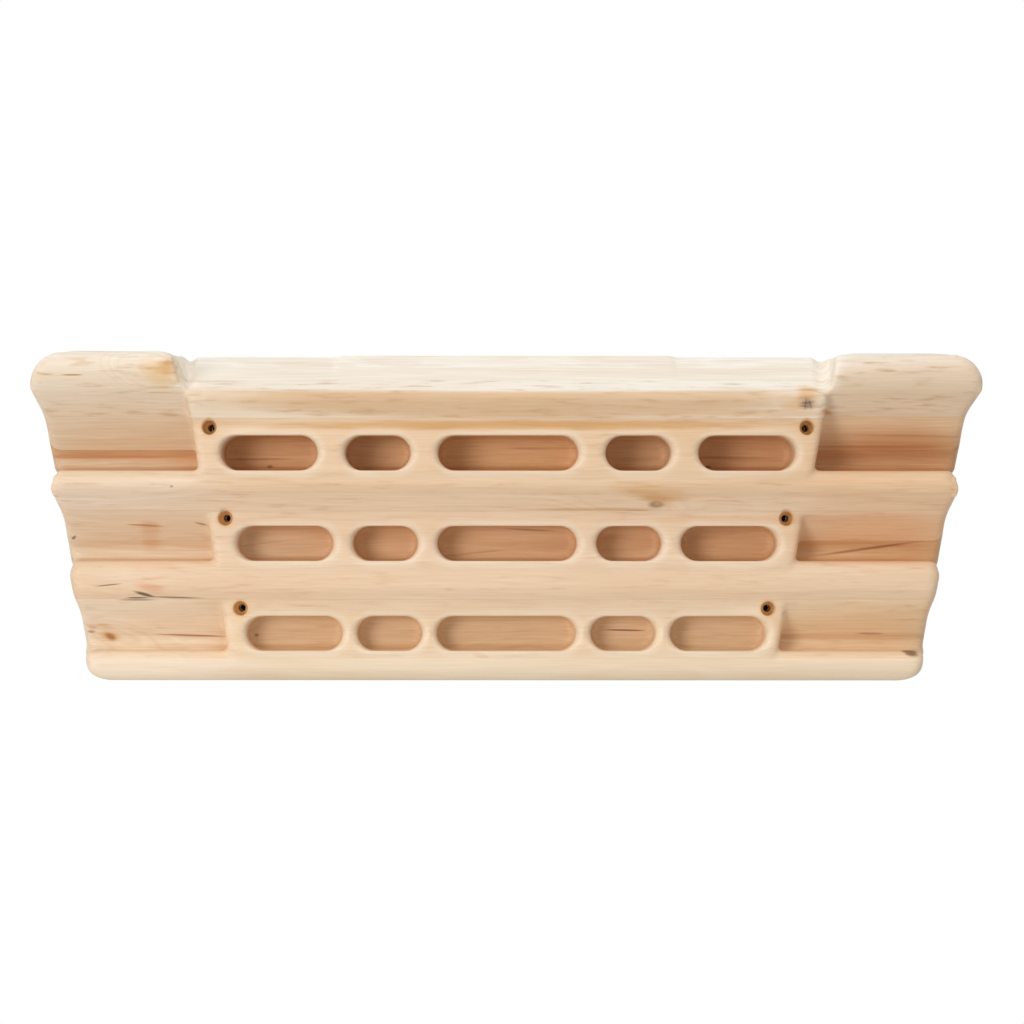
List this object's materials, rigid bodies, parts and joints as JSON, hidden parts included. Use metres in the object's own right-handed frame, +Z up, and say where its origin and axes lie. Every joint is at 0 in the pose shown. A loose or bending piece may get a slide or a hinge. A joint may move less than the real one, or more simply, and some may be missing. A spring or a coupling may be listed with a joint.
{
  "type": "hangboard",
  "caption": "Wooden finger-training board milled from a laminated blank, with slanted ends, horns, a sloping top hold, rows of rounded finger pockets and open edge recesses.",
  "frame": {"origin": "centre of the flat back, which lies against the wall", "axes": "+Z up, +X to the right as seen from the front, +Y into the wall; the front with the holds faces -Y"},
  "size_m": [0.609, 0.057, 0.2124],
  "materials": {
    "alder_back_top": "reddish alder, sanded, without a coat",
    "alder_back_centre": "pinkish tan alder, sanded, without a coat",
    "alder_back_bottom": "tan alder, sanded, without a coat",
    "alder_middle_top": "tan alder, sanded, without a coat",
    "alder_middle_centre": "light tan alder, sanded, without a coat",
    "alder_middle_lower": "light tan alder with darker streaks, sanded, without a coat",
    "alder_middle_bottom": "pale yellowish alder, sanded, without a coat",
    "alder_front_upper": "pale cream alder, sanded, without a coat",
    "alder_front_lower": "light tan alder, sanded, without a coat"
  },
  "bodies": {
    "root": {"back_top_stave": "alder_back_top", "back_centre_stave": "alder_back_centre", "back_bottom_stave": "alder_back_bottom", "middle_top_stave": "alder_middle_top", "middle_centre_stave": "alder_middle_centre", "middle_lower_stave": "alder_middle_lower", "middle_bottom_stave": "alder_middle_bottom", "front_upper_stave": "alder_front_upper", "front_lower_stave": "alder_front_lower"}
  },
  "joints": []
}
